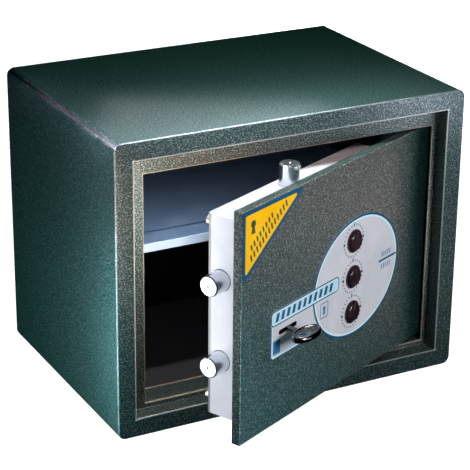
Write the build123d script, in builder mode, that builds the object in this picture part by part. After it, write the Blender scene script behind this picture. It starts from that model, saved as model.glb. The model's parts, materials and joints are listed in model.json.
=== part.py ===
"""Combination safe: a folded steel cabinet and a thick door, hung on two hidden pins.

Millimetres, +Z up, front facing -Y. The origin is the centre of the cabinet's underside.
The door stands open, with its bolts thrown and the key in its lock. Door pieces are drawn in
the door's own planes: u runs from its free edge to its hinge edge, z runs up from its lower
edge, and v runs backwards from its front face.
"""

from build123d import *
from math import acos, cos, pi, radians, sin, tan
import os

os.makedirs("parts", exist_ok=True)

# Cabinet shell
width = 380.0
depth = 265.0
height = 300.0
sheet = 2.5
corner_radius = 8.0
front_edge_radius = 1.4
rim = 19.0
back_sheet = 2.5
back_inset = 1.0

# Door frame, stepped in behind the rim
recess_depth = 18.0
frame_sheet = 2.0
flange_left = 18.0
flange_right = 6.0
flange_top = 21.0
flange_bottom = 5.0
jamb_depth = 46.0
sill_depth = 30.0

# Anchor holes
anchor_radius = 5.0
anchor_spacing = 240.0
back_anchor_height = 205.0
mat_hole_radius = 9.0

# Door plate
side_gap = 1.5
bottom_gap = 2.0
top_gap = 2.5
door_setback = 1.0
door_thickness = 9.5
door_edge_radius = 0.9
open_angle = 25.2

# Hinges
hinge_back = 22.0
hinge_inset = 23.5
pin_radius = 4.0
running_clearance = 0.05
hinge_block_width = 23.0
hinge_block_height = 30.0
pin_length = 35.0
bracket_size = 22.0
bracket_thickness = 8.0
washer_radius = 6.5
washer_thickness = 1.9

# Shelf, its supports and the floor mat
shelf_front = 76.0
shelf_height = 164.0
shelf_sheet = 1.2
shelf_lip = 9.0
shelf_side_gap = 0.5
shelf_back_gap = 2.0
support_leg = 16.0
support_sheet = 2.0
support_setback = 8.0
rivet_radius = 2.0
rivet_head_radius = 3.6
rivet_head_height = 1.4
rivet_edge = 9.0
rivet_end = 20.0
mat_thickness = 2.0
mat_gap = 0.5
mat_front = 24.0

# Lock case on the back of the door
case_left = 10.0
case_right_margin = 63.0
case_bottom = 17.0
case_top_margin = 12.5
case_depth = 33.0
case_sheet = 2.0
case_corner_radius = 1.5
cover_sheet = 2.0
stud_radius = 2.5
stud_inset = 7.0
stud_low_inset = 16.0
stud_high_inset = 10.5
stud_reach = 5.0
nut_radius = 5.5
nut_height = 7.0
nut_dome_chamfer = 2.6

# Bolts
bolt_radius = 10.0
side_bolt_length = 37.2
side_bolt_proud = 19.2
top_bolt_length = 40.0
top_bolt_proud = 20.8
bolt_setback = 20.5
bolt_chamfer = 1.0
bolt_centre_mark = 1.6
bolt_hole_clearance = 0.4
bolt_neck_radius = 4.0
side_bolt_pitch = 81.0
top_bolt_u = 114.0
guide_length = 11.5
guide_half_width = 14.0
guide_back_wall = 1.45

# Key, rotor and pinion
key_u = 73.4
key_height = 94.2
key_slot_length = 29.0
key_slot_height = 5.0
key_shaft_radius = 2.5
key_bit_radius = 13.0
key_bit_thickness = 2.6
key_bit_start = 12.0
key_bit_end = 27.0
key_bit_step = 1.6
key_tip = 29.0
key_bow_distance = 21.5
key_bow_long = 40.0
key_bow_short = 21.0
key_bow_thickness = 6.4
key_bow_rim = 2.4
key_bow_web = 2.2
rotor_radius = 16.0
rotor_front = 20.0
rotor_back = 30.0
rotor_slot_depth = 7.3
bit_clearance = 0.3
housing_half = 20.0
housing_screw_offset = 15.5
screw_radius = 2.0
screw_head_radius = 3.2
screw_head_height = 3.0
screw_bite = 5.0

# Rack and pinion
gear_module = 1.0
pinion_teeth = 12
pressure_angle = 25.0
addendum = 0.8
dedendum = 1.05
backlash = 0.16
pinion_length = 10.5
collar_radius = 4.9
collar_back = 42.3
spigot_radius = 3.0
spigot_back = 44.2
strip_thickness = 4.0
top_rack_setback = 1.0
bar_rack_setback = 1.2

# Bolt bar and top rod
bar_thickness = 5.0
bar_end = 12.0
bar_front = 22.0
rack_start = 50.0
rack_end = 80.0
arm_top = 110.0
fence_width = 6.0
finger_length = 6.75
finger_height = 5.0
finger_gap = 0.8
rod_foot = 84.0
rod_right = 88.0
rod_rack_top = 118.5
rod_step_drop = 9.8
rod_step_height = 8.0
rod_guide_drop = 2.0
rod_tang_width = 12.0
rod_tang_bite = 6.0
slot_clearance = 0.2
bar_guide_left = 106.0
slot_guide_length = 10.0
slot_guide_wall = 4.0
slot_guide_back = 1.9

# Combination dials
dial_u = 181.8
dial_middle_height = 109.7
dial_pitch = 37.6
knob_radius = 11.7
knob_skirt = 1.3
knob_lift = 0.3
grip_radius = 9.9
grip_height = 2.6
grip_chamfer = 1.0
flute_radius = 1.3
flute_count = 12
index_length = 6.0
index_width = 1.3
index_depth = 0.4
spindle_radius = 3.0
spindle_front = 3.2
spindle_end = 40.8
spindle_collar_radius = 5.0
spindle_collar = (14.2, 16.2)
bush_radius = 5.0
bush_flange_radius = 7.0
bush_flange = 1.5
bush_length = 14.0
wheel_radius = 14.0
wheel_hub_radius = 6.0
wheel_hub_length = 3.0
gate_width = 6.0
gate_depth = 5.0
gate_angles = (35.0, 150.0, 255.0)

# Face label and corner sticker
label_thickness = 0.4
label_u = 189.0
label_height = 108.3
label_half_width = 75.0
label_half_height = 62.5
banner_left = 46.0
banner_top = 118.7
banner_bottom = 69.0
banner_radius = 5.0
label_spindle_clearance = 1.0
sticker_width = 96.6
sticker_height = 68.0
sticker_inset = 1.4
sticker_radius = 3.0
sticker_thickness = 0.3

# Opening and door, worked out from the cabinet
opening_left = -width / 2 + rim + flange_left
opening_right = width / 2 - rim - flange_right
opening_bottom = rim + flange_bottom
opening_top = height - rim - flange_top
opening_width = opening_right - opening_left
opening_height = opening_top - opening_bottom
opening_middle = ((opening_left + opening_right) / 2, (opening_bottom + opening_top) / 2)
flange_face = -depth / 2 + recess_depth
door_width = opening_width - 2 * side_gap
door_height = opening_height - bottom_gap - top_gap
door_bottom = opening_bottom + bottom_gap
door_face = flange_face + door_setback
door_left = opening_left + side_gap
pivot_x = opening_right - side_gap - hinge_inset
pivot_y = door_face + hinge_back
pivot_u = door_width - hinge_inset

# Lock case edges, and depths behind the door's front face
case_right = door_width - case_right_margin
case_top = door_height - case_top_margin
case_width = case_right - case_left
case_height = case_top - case_bottom
case_back = door_thickness + case_depth
bolt_v = door_thickness + bolt_setback
bolt_heights = (door_height / 2 + side_bolt_pitch / 2, door_height / 2 - side_bolt_pitch / 2)
side_bolt_tip = case_left - side_bolt_proud
side_bolt_end = side_bolt_tip + side_bolt_length
top_bolt_foot = case_top + top_bolt_proud - top_bolt_length
pitch_radius = gear_module * pinion_teeth / 2
tooth_pitch = pi * gear_module
stroke = pi * pitch_radius
rod_v = rotor_back + top_rack_setback
arm_v = rod_v + strip_thickness + bar_rack_setback
dial_heights = [dial_middle_height + dial_pitch * step for step in (1, 0, -1)]
dial_names = ("upper", "middle", "lower")
finger_tip = dial_u - wheel_radius - stroke - finger_gap
fence_left = finger_tip - finger_length - fence_width
rod_step_top = top_bolt_foot - rod_step_drop
rod_step_bottom = rod_step_top - rod_step_height
rod_guide_top = rod_step_bottom - stroke - rod_guide_drop
stud_heights = (case_bottom + stud_low_inset, case_top - stud_high_inset)


def facade(y):
    """The upright plane y behind the cabinet's front face, seen from the front."""
    return Plane.XZ.offset(depth / 2 - y)


def swung(x, y):
    """Where a point of the closed door stands once the door is open."""
    turn = radians(open_angle)
    dx, dy = x - pivot_x, y - pivot_y
    return (pivot_x + dx * cos(turn) - dy * sin(turn), pivot_y + dx * sin(turn) + dy * cos(turn))


door_corner = (*swung(door_left, door_face), door_bottom)
along = (cos(radians(open_angle)), sin(radians(open_angle)), 0)
inward = (-sin(radians(open_angle)), cos(radians(open_angle)), 0)
outward = (sin(radians(open_angle)), -cos(radians(open_angle)), 0)
door_front = Plane(origin=door_corner, x_dir=along, z_dir=outward)
door_plan = Plane(origin=door_corner, x_dir=along, z_dir=(0, 0, 1))
door_side = Plane(origin=door_corner, x_dir=inward, z_dir=along)


def at_depth(v):
    """The door's plane at depth v, with u to the right and z up."""
    return door_front.offset(-v)


def at_height(z):
    """The door's level plane at height z, with u to the right and v backwards."""
    return door_plan.offset(z)


def at_reach(u):
    """The door's upright plane across it at u, with v to the right and z up."""
    return door_side.offset(u)


# Cabinet

# The shell is one folded wrap with rounded corners and a turned-in front rim.
with BuildPart() as body_shell:
    with BuildSketch(facade(0)):
        with Locations((0, height / 2)):
            RectangleRounded(width, height, corner_radius)
    extrude(amount=-depth)
    fillet(body_shell.faces().sort_by(Axis.Y)[0].edges(), radius=front_edge_radius)
    with BuildSketch(facade(sheet)):
        with Locations((0, height / 2)):
            RectangleRounded(width - 2 * sheet, height - 2 * sheet, corner_radius - sheet)
    extrude(amount=-depth, mode=Mode.SUBTRACT)
    with BuildSketch(facade(0)):
        with Locations((0, height / 2)):
            Rectangle(width - 2 * rim, height - 2 * rim)
    extrude(amount=-sheet, mode=Mode.SUBTRACT)
    with BuildSketch(Plane.XY):
        with GridLocations(anchor_spacing, 1, 2, 1):
            Circle(anchor_radius)
    extrude(amount=sheet, mode=Mode.SUBTRACT)

with BuildPart() as back_panel:
    with BuildSketch(facade(depth - back_inset - back_sheet)):
        with Locations((0, height / 2)):
            RectangleRounded(width - 2 * sheet, height - 2 * sheet, corner_radius - sheet)
        with Locations((0, back_anchor_height)):
            with GridLocations(anchor_spacing, 1, 2, 1):
                Circle(anchor_radius, mode=Mode.SUBTRACT)
    extrude(amount=-back_sheet)

# The frame steps back behind the rim, turns in as a flange, and runs back again as jambs and sill.
with BuildPart() as door_frame:
    with BuildSketch(facade(sheet)):
        with Locations((0, height / 2)):
            Rectangle(width - 2 * (rim - frame_sheet), height - 2 * (rim - frame_sheet))
            Rectangle(width - 2 * rim, height - 2 * rim, mode=Mode.SUBTRACT)
    extrude(amount=-(recess_depth - sheet))
    with BuildSketch(facade(recess_depth)):
        with Locations((0, height / 2)):
            Rectangle(width - 2 * (rim - frame_sheet), height - 2 * (rim - frame_sheet))
        with Locations(opening_middle):
            Rectangle(opening_width, opening_height, mode=Mode.SUBTRACT)
    extrude(amount=-frame_sheet)
    with BuildSketch(facade(recess_depth)):
        with Locations((opening_left, opening_bottom - frame_sheet)):
            Rectangle(frame_sheet, opening_height + 2 * frame_sheet, align=(Align.MAX, Align.MIN))
        with Locations((opening_left, opening_top)):
            Rectangle(opening_width, frame_sheet, align=Align.MIN)
    extrude(amount=-jamb_depth)
    with BuildSketch(facade(recess_depth)):
        with Locations((opening_left, opening_bottom)):
            Rectangle(opening_width, frame_sheet, align=(Align.MIN, Align.MAX))
    extrude(amount=-sill_depth)
    with BuildSketch(Plane.YZ.offset(opening_left)):
        for bolt_height in bolt_heights:
            with Locations((door_face + bolt_v, door_bottom + bolt_height)):
                Circle(bolt_radius + bolt_hole_clearance)
    extrude(amount=-frame_sheet, mode=Mode.SUBTRACT)
    with BuildSketch(Plane.XY.offset(opening_top)):
        with Locations((door_left + top_bolt_u, door_face + bolt_v)):
            Circle(bolt_radius + bolt_hole_clearance)
        with Locations((pivot_x, pivot_y)):
            Circle(pin_radius)
    extrude(amount=frame_sheet, mode=Mode.SUBTRACT)
    with BuildSketch(Plane.XY.offset(opening_bottom)):
        with Locations((pivot_x, pivot_y)):
            Circle(pin_radius)
    extrude(amount=-frame_sheet, mode=Mode.SUBTRACT)


def hinge_bracket(base):
    """A welded block that stiffens the frame round a hinge pin, standing on the level base."""
    with BuildPart() as bracket:
        with BuildSketch(Plane.XY.offset(base)):
            with Locations((pivot_x, pivot_y)):
                Rectangle(bracket_size, bracket_size)
                Circle(pin_radius, mode=Mode.SUBTRACT)
        extrude(amount=bracket_thickness)
        chamfer(bracket.edges().filter_by(Axis.Z).filter_by(GeomType.LINE), length=2)
    return bracket


hinge_bracket_lower = hinge_bracket(opening_bottom - frame_sheet - bracket_thickness)
hinge_bracket_upper = hinge_bracket(opening_top + frame_sheet)

with BuildPart() as hinge_pins:
    lower_base = opening_bottom - frame_sheet - bracket_thickness
    upper_base = opening_top + frame_sheet + bracket_thickness - pin_length
    for base in (lower_base, upper_base):
        with BuildSketch(Plane.XY.offset(base)):
            with Locations((pivot_x, pivot_y)):
                Circle(pin_radius)
        extrude(amount=pin_length)
    chamfer(hinge_pins.edges().filter_by(GeomType.CIRCLE), length=0.6)

with BuildPart() as hinge_washer:
    with BuildSketch(Plane.XY.offset(opening_bottom)):
        with Locations((pivot_x, pivot_y)):
            Circle(washer_radius)
            Circle(pin_radius + running_clearance, mode=Mode.SUBTRACT)
    extrude(amount=washer_thickness)

shelf_half = width / 2 - sheet - shelf_side_gap
shelf_back = depth - back_inset - back_sheet - shelf_back_gap
support_under = shelf_height - shelf_sheet
rivet_y = (shelf_front + support_setback + rivet_end, shelf_back - rivet_end)
rivet_x = width / 2 - sheet - rivet_edge
rivet_places = [(side * rivet_x, y - depth / 2) for side in (-1, 1) for y in rivet_y]

# The shelf is a bent sheet with a turned-down front lip, riveted to two side angles.
with BuildPart() as shelf:
    with BuildSketch(Plane.YZ.offset(-shelf_half)):
        with BuildLine():
            Polyline(
                (shelf_front - depth / 2, shelf_height),
                (shelf_back - depth / 2, shelf_height),
                (shelf_back - depth / 2, shelf_height - shelf_sheet),
                (shelf_front + shelf_sheet - depth / 2, shelf_height - shelf_sheet),
                (shelf_front + shelf_sheet - depth / 2, shelf_height - shelf_lip),
                (shelf_front - depth / 2, shelf_height - shelf_lip),
                close=True,
            )
        make_face()
    extrude(amount=2 * shelf_half)
    fillet(shelf.edges().filter_by(Axis.X).group_by(Axis.Z)[-1].sort_by(Axis.Y)[0], radius=1)
    with BuildSketch(Plane.XY.offset(shelf_height)):
        with Locations(*rivet_places):
            Circle(rivet_radius)
    extrude(amount=-shelf_sheet, mode=Mode.SUBTRACT)

with BuildPart() as shelf_supports:
    support_start = shelf_front + support_setback
    for side in (-1, 1):
        with BuildSketch(facade(support_start)):
            with BuildLine():
                Polyline(
                    (side * (width / 2 - sheet), support_under),
                    (side * (width / 2 - sheet - support_leg), support_under),
                    (side * (width / 2 - sheet - support_leg), support_under - support_sheet),
                    (side * (width / 2 - sheet - support_sheet), support_under - support_sheet),
                    (side * (width / 2 - sheet - support_sheet), support_under - support_leg),
                    (side * (width / 2 - sheet), support_under - support_leg),
                    close=True,
                )
            make_face()
        extrude(amount=-(shelf_back - support_start))
    with BuildSketch(Plane.XY.offset(support_under)):
        with Locations(*rivet_places):
            Circle(rivet_radius)
    extrude(amount=-support_sheet, mode=Mode.SUBTRACT)

with BuildPart() as shelf_rivets:
    with BuildSketch(Plane.XY.offset(shelf_height)):
        with Locations(*rivet_places):
            Circle(rivet_head_radius)
    extrude(amount=rivet_head_height)
    fillet(shelf_rivets.faces().group_by(Axis.Z)[-1].edges(), radius=rivet_head_height * 0.7)
    with BuildSketch(Plane.XY.offset(shelf_height)):
        with Locations(*rivet_places):
            Circle(rivet_radius)
    extrude(amount=-(shelf_sheet + support_sheet + rivet_head_height))

with BuildPart() as floor_mat:
    mat_width = width - 2 * (corner_radius + mat_gap)
    mat_back = depth - back_inset - back_sheet - mat_gap
    with BuildSketch(Plane.XY.offset(sheet)):
        with Locations((0, (mat_front + mat_back - depth) / 2)):
            RectangleRounded(mat_width, mat_back - mat_front, corner_radius)
        with GridLocations(anchor_spacing, 1, 2, 1):
            Circle(mat_hole_radius, mode=Mode.SUBTRACT)
    extrude(amount=mat_thickness)

# Door

screw_places = [
    (key_u + across * housing_screw_offset, key_height + up * housing_screw_offset)
    for across in (-1, 1)
    for up in (-1, 1)
]
stud_places = [
    (u, z) for u in (case_left + stud_inset, case_right - stud_inset) for z in stud_heights
]
dial_places = [(dial_u, z) for z in dial_heights]

with BuildPart() as door_plate:
    with BuildSketch(at_depth(0)):
        Rectangle(door_width, door_height, align=Align.MIN)
    extrude(amount=-door_thickness)
    fillet(door_plate.edges(), radius=door_edge_radius)
    with BuildSketch(at_depth(0)):
        with Locations(*dial_places):
            Circle(bush_radius)
        with Locations((key_u, key_height)):
            SlotOverall(key_slot_length, key_slot_height)
            Circle(key_shaft_radius + bit_clearance)
    extrude(amount=-door_thickness, mode=Mode.SUBTRACT)
    with BuildSketch(at_depth(door_thickness)):
        with Locations(*screw_places):
            Circle(screw_radius)
    extrude(amount=screw_bite, mode=Mode.SUBTRACT)

# The label is one thin sheet: an oval round the dials and a banner round the keyhole.
with BuildPart() as face_label:
    banner_middle = ((banner_left + label_u) / 2, (banner_top + banner_bottom) / 2)
    with BuildSketch(at_depth(0)):
        with Locations(banner_middle):
            RectangleRounded(label_u - banner_left, banner_top - banner_bottom, banner_radius)
        with Locations((label_u, label_height)):
            Ellipse(label_half_width, label_half_height)
        with Locations(*dial_places):
            Circle(spindle_radius + label_spindle_clearance, mode=Mode.SUBTRACT)
        with Locations((key_u, key_height)):
            SlotOverall(key_slot_length, key_slot_height, mode=Mode.SUBTRACT)
            Circle(key_shaft_radius + bit_clearance, mode=Mode.SUBTRACT)
    extrude(amount=label_thickness)

with BuildPart() as corner_sticker:
    sticker_top = door_height - sticker_inset
    with BuildSketch(at_depth(0)) as sticker_outline:
        with BuildLine():
            Polyline(
                (sticker_inset, sticker_top),
                (sticker_inset + sticker_width, sticker_top),
                (sticker_inset, sticker_top - sticker_height),
                close=True,
            )
        make_face()
        fillet(sticker_outline.vertices(), radius=sticker_radius)
    extrude(amount=sticker_thickness)

with BuildPart() as lock_case:
    with BuildSketch(at_depth(door_thickness)):
        with Locations(((case_left + case_right) / 2, (case_bottom + case_top) / 2)):
            RectangleRounded(case_width, case_height, case_corner_radius)
            Rectangle(case_width - 2 * case_sheet, case_height - 2 * case_sheet, mode=Mode.SUBTRACT)
    extrude(amount=-case_depth)
    with BuildSketch(at_reach(case_left)):
        for bolt_height in bolt_heights:
            with Locations((bolt_v, bolt_height)):
                Circle(bolt_radius + bolt_hole_clearance)
    extrude(amount=case_sheet, mode=Mode.SUBTRACT)
    with BuildSketch(at_height(case_top)):
        with Locations((top_bolt_u, bolt_v)):
            Circle(bolt_radius + bolt_hole_clearance)
    extrude(amount=-case_sheet, mode=Mode.SUBTRACT)

with BuildPart() as rear_cover:
    with BuildSketch(at_depth(case_back)):
        with Locations(((case_left + case_right) / 2, (case_bottom + case_top) / 2)):
            RectangleRounded(case_width, case_height, case_corner_radius)
        with Locations(*stud_places):
            Circle(stud_radius, mode=Mode.SUBTRACT)
        with Locations((key_u, key_height)):
            Circle(spigot_radius + running_clearance, mode=Mode.SUBTRACT)
    extrude(amount=-cover_sheet)

with BuildPart() as cover_studs:
    with BuildSketch(at_depth(door_thickness)):
        with Locations(*stud_places):
            Circle(stud_radius)
    extrude(amount=-(case_depth + cover_sheet + stud_reach))

with BuildPart() as cover_nuts:
    with BuildSketch(at_depth(case_back + cover_sheet)):
        with Locations(*stud_places):
            Circle(nut_radius)
    extrude(amount=-nut_height)
    nut_tops = cover_nuts.faces().sort_by(Axis(door_corner, inward))[-len(stud_places):]
    chamfer(nut_tops.edges(), length=nut_dome_chamfer)
    with BuildSketch(at_depth(case_back + cover_sheet)):
        with Locations(*stud_places):
            Circle(stud_radius)
    extrude(amount=-stud_reach, mode=Mode.SUBTRACT)


def hinge_block(base):
    """A block welded to the back of the door plate, bored for a hinge pin."""
    with BuildPart() as block:
        with BuildSketch(at_height(base)):
            with Locations((pivot_u, hinge_back)):
                Rectangle(hinge_block_width, 2 * (hinge_back - door_thickness))
                Circle(pin_radius + running_clearance, mode=Mode.SUBTRACT)
        extrude(amount=hinge_block_height)
    return block


hinge_block_lower = hinge_block(0)
hinge_block_upper = hinge_block(door_height - hinge_block_height)

# Guides and housings inside the lock case

with BuildPart() as lock_housing:
    with BuildSketch(at_depth(door_thickness)):
        with Locations((key_u, key_height)):
            Rectangle(2 * housing_half, 2 * housing_half)
            Circle(key_bit_radius + 1, mode=Mode.SUBTRACT)
    extrude(amount=-(rotor_back - door_thickness))
    with BuildSketch(at_depth(rotor_back)):
        with Locations((key_u, key_height)):
            Circle(rotor_radius + running_clearance)
    extrude(amount=rotor_back - rotor_front + 0.2, mode=Mode.SUBTRACT)
    with BuildSketch(at_depth(rotor_back)):
        with Locations(*screw_places):
            Circle(screw_radius)
    extrude(amount=rotor_back - door_thickness, mode=Mode.SUBTRACT)
    with BuildSketch(at_depth(rotor_back)):
        with Locations(*screw_places):
            Circle(screw_head_radius)
    extrude(amount=screw_head_height, mode=Mode.SUBTRACT)

with BuildPart() as housing_screws:
    with BuildSketch(at_depth(rotor_back)):
        with Locations(*screw_places):
            Circle(screw_head_radius)
    extrude(amount=screw_head_height)
    with BuildSketch(at_depth(rotor_back)):
        with Locations(*screw_places):
            Circle(screw_radius)
    extrude(amount=rotor_back - door_thickness + screw_bite)
    with BuildSketch(at_depth(rotor_back)):
        with Locations(*screw_places):
            RegularPolygon(screw_radius * 0.8, 6)
    extrude(amount=screw_head_height / 2, mode=Mode.SUBTRACT)

with BuildPart() as spindle_bushes:
    with BuildSketch(at_depth(0)):
        with Locations(*dial_places):
            Circle(bush_radius)
    extrude(amount=-bush_length)
    with BuildSketch(at_depth(door_thickness)):
        with Locations(*dial_places):
            Circle(bush_flange_radius)
    extrude(amount=-bush_flange)
    with BuildSketch(at_depth(0)):
        with Locations(*dial_places):
            Circle(spindle_radius + running_clearance)
    extrude(amount=-bush_length, mode=Mode.SUBTRACT)

guide_back = bolt_v + bolt_radius + guide_back_wall
with BuildPart() as side_bolt_guides:
    with BuildSketch(at_reach(case_left + case_sheet)):
        for bolt_height in bolt_heights:
            with Locations(((door_thickness + guide_back) / 2, bolt_height)):
                Rectangle(guide_back - door_thickness, 2 * guide_half_width)
            with Locations((bolt_v, bolt_height)):
                Circle(bolt_radius + running_clearance, mode=Mode.SUBTRACT)
    extrude(amount=guide_length)

with BuildPart() as top_bolt_guide:
    with BuildSketch(at_height(case_top - case_sheet)):
        with Locations((top_bolt_u, (door_thickness + guide_back) / 2)):
            Rectangle(2 * guide_half_width, guide_back - door_thickness)
        with Locations((top_bolt_u, bolt_v)):
            Circle(bolt_radius + running_clearance, mode=Mode.SUBTRACT)
    extrude(amount=-guide_length)

rod_left = key_u + pitch_radius + dedendum
arm_bottom = key_height + pitch_radius + dedendum

with BuildPart() as rod_guide:
    slot_back = rod_v + strip_thickness + slot_clearance
    with BuildSketch(at_height(rod_guide_top)):
        with Locations((rod_left - slot_clearance - slot_guide_wall, door_thickness)):
            Rectangle(
                rod_right - rod_left + 2 * (slot_clearance + slot_guide_wall),
                slot_back + slot_guide_back - door_thickness,
                align=Align.MIN,
            )
        with Locations((rod_left - slot_clearance, rod_v - slot_clearance)):
            Rectangle(
                rod_right - rod_left + 2 * slot_clearance,
                strip_thickness + 2 * slot_clearance,
                align=Align.MIN,
                mode=Mode.SUBTRACT,
            )
    extrude(amount=-slot_guide_length)

with BuildPart() as bar_guide:
    slot_back = arm_v + strip_thickness + slot_clearance
    with BuildSketch(at_reach(bar_guide_left)):
        with Locations((door_thickness, arm_bottom - slot_clearance - slot_guide_wall)):
            Rectangle(
                slot_back + slot_guide_back - door_thickness,
                arm_top - arm_bottom + 2 * (slot_clearance + slot_guide_wall),
                align=Align.MIN,
            )
        with Locations((arm_v - slot_clearance, arm_bottom - slot_clearance)):
            Rectangle(
                strip_thickness + 2 * slot_clearance,
                arm_top - arm_bottom + 2 * slot_clearance,
                align=Align.MIN,
                mode=Mode.SUBTRACT,
            )
    extrude(amount=slot_guide_length)

# Key, rotor, pinion and racks


def involute(angle):
    return tan(angle) - angle


def half_angle(radius):
    """Half the angle a pinion tooth fills at this radius."""
    base_radius = pitch_radius * cos(radians(pressure_angle))
    at_pitch = (tooth_pitch / 2 - backlash) / (2 * pitch_radius)
    slope = acos(min(1.0, base_radius / radius))
    return at_pitch + involute(radians(pressure_angle)) - involute(slope)


def pinion_outline():
    """The pinion's outline in the door's u and z, with teeth pointing along both."""
    base_radius = pitch_radius * cos(radians(pressure_angle))
    tip_radius = pitch_radius + addendum
    radii = [base_radius + (tip_radius - base_radius) * step / 4 for step in range(5)]
    flank = [(pitch_radius - dedendum, half_angle(base_radius))]
    flank += [(radius, half_angle(radius)) for radius in radii]
    points = []
    for tooth in range(pinion_teeth):
        middle = 2 * pi * tooth / pinion_teeth
        first_side = [(radius, middle - half) for radius, half in flank]
        second_side = [(radius, middle + half) for radius, half in reversed(flank)]
        for radius, angle in first_side + second_side:
            points.append((key_u + radius * cos(angle), key_height + radius * sin(angle)))
    return points


def rack_teeth(start, end):
    """Rack teeth as (along, across) outlines, measured from the pinion's centre."""
    slope = tan(radians(pressure_angle))
    half = (tooth_pitch / 2 - backlash) / 2
    outlines = []
    first = int((start - tooth_pitch / 2) // tooth_pitch) + 1
    last = int((end - tooth_pitch / 2) // tooth_pitch)
    for tooth in range(first, last + 1):
        middle = (tooth + 0.5) * tooth_pitch
        tip = half - addendum * slope
        root = half + dedendum * slope
        outlines.append([
            (middle - root, pitch_radius + dedendum),
            (middle - tip, pitch_radius - addendum),
            (middle + tip, pitch_radius - addendum),
            (middle + root, pitch_radius + dedendum),
        ])
    return outlines


with BuildPart() as key_rotor:
    with BuildSketch(at_depth(rotor_front)):
        with Locations((key_u, key_height)):
            Circle(rotor_radius)
    extrude(amount=-(rotor_back - rotor_front))
    with BuildSketch(at_depth(rotor_back)):
        with BuildLine():
            Polyline(*pinion_outline(), close=True)
        make_face()
    extrude(amount=-pinion_length)
    with BuildSketch(at_depth(rotor_back + pinion_length)):
        with Locations((key_u, key_height)):
            Circle(collar_radius)
    extrude(amount=-(collar_back - rotor_back - pinion_length))
    with BuildSketch(at_depth(collar_back)):
        with Locations((key_u, key_height)):
            Circle(spigot_radius)
    extrude(amount=-(spigot_back - collar_back))
    slot_margin = 2 * bit_clearance
    with BuildSketch(at_depth(rotor_front)):
        with Locations((key_u, key_height)):
            Rectangle(2 * key_bit_radius + slot_margin, key_bit_thickness + slot_margin)
    extrude(amount=-rotor_slot_depth, mode=Mode.SUBTRACT)
    with BuildSketch(at_depth(rotor_front)):
        with Locations((key_u, key_height)):
            Circle(key_shaft_radius + bit_clearance)
    extrude(amount=-(key_tip + bit_clearance - rotor_front), mode=Mode.SUBTRACT)

# The key has stepped bits on both sides of its shaft and a thick oval bow, dished on both faces.
with BuildPart() as key:
    with BuildSketch(at_height(key_height - key_bow_thickness / 2)):
        with Locations((key_u, -key_bow_distance)):
            Ellipse(key_bow_long / 2, key_bow_short / 2)
    extrude(amount=key_bow_thickness)
    fillet(key.edges().filter_by(GeomType.ELLIPSE), radius=key_bow_thickness * 0.42)
    shaft_start = key_bow_short / 2 - key_bow_distance - 1
    with BuildSketch(at_depth(shaft_start)):
        with Locations((key_u, key_height)):
            Circle(key_shaft_radius)
    extrude(amount=-(key_tip - shaft_start))
    dish_size = (
        key_bow_long / 2 - key_bow_rim,
        key_bow_short / 2 - key_bow_rim,
        (key_bow_thickness - key_bow_web) / 2,
    )
    for side in (-1, 1):
        face = at_height(key_height + side * key_bow_thickness / 2)
        dish = scale(Sphere(1.0, mode=Mode.PRIVATE), by=dish_size, mode=Mode.PRIVATE)
        add(face * Pos(key_u, -key_bow_distance) * dish, mode=Mode.SUBTRACT)
    with BuildSketch(at_height(key_height - key_bit_thickness / 2)):
        with Locations((key_u, (key_bit_start + key_bit_end) / 2)):
            Rectangle(2 * key_bit_radius, key_bit_end - key_bit_start)
        for side in (-1, 1):
            for step, cut in enumerate((1, 2, 0, 1)):
                with Locations((key_u + side * key_bit_radius, key_bit_start + 3 + 3 * step)):
                    Rectangle(2 * key_bit_step * cut + 0.8, 1.4, mode=Mode.SUBTRACT)
    extrude(amount=key_bit_thickness)

# The bolt bar carries both side bolts, the rack above the pinion and the fence with its fingers.
with BuildPart() as bolt_bar:
    with BuildSketch(at_reach(side_bolt_end)):
        with Locations((bar_front, bolt_heights[1] - bar_end)):
            Rectangle(
                arm_v + strip_thickness - bar_front,
                bolt_heights[0] - bolt_heights[1] + 2 * bar_end,
                align=Align.MIN,
            )
        for bolt_height in bolt_heights:
            with Locations((bolt_v, bolt_height)):
                Circle(bolt_neck_radius, mode=Mode.SUBTRACT)
    extrude(amount=bar_thickness)
    bar_right = side_bolt_end + bar_thickness
    with BuildSketch(at_depth(arm_v)):
        with Locations((bar_right, arm_bottom)):
            Rectangle(fence_left - bar_right, arm_top - arm_bottom, align=Align.MIN)
        for outline in rack_teeth(rack_start - key_u, rack_end - key_u):
            with BuildLine():
                Polyline(*[(key_u + a, key_height + b) for a, b in outline], close=True)
            make_face()
        with Locations((fence_left, dial_heights[2] - finger_height / 2)):
            Rectangle(fence_width, 2 * dial_pitch + finger_height, align=Align.MIN)
        for dial_height in dial_heights:
            with Locations((fence_left + fence_width, dial_height)):
                Rectangle(
                    finger_tip - fence_left - fence_width,
                    finger_height,
                    align=(Align.MIN, Align.CENTER),
                )
    extrude(amount=-strip_thickness)


def side_bolt(bolt_height):
    """A round side bolt with a centre mark in its nose and a neck riveted into the bar."""
    with BuildPart() as bolt:
        with BuildSketch(at_reach(side_bolt_tip)):
            with Locations((bolt_v, bolt_height)):
                Circle(bolt_radius)
        extrude(amount=side_bolt_length)
        chamfer(bolt.faces().sort_by(Axis(door_corner, along))[0].edges(), length=bolt_chamfer)
        with BuildSketch(at_reach(side_bolt_tip)):
            with Locations((bolt_v, bolt_height)):
                Circle(bolt_centre_mark)
        extrude(amount=bolt_centre_mark / 2, taper=40, mode=Mode.SUBTRACT)
        with BuildSketch(at_reach(side_bolt_end)):
            with Locations((bolt_v, bolt_height)):
                Circle(bolt_neck_radius)
        extrude(amount=bar_thickness)
    return bolt


side_bolt_upper = side_bolt(bolt_heights[0])
side_bolt_lower = side_bolt(bolt_heights[1])

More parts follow.
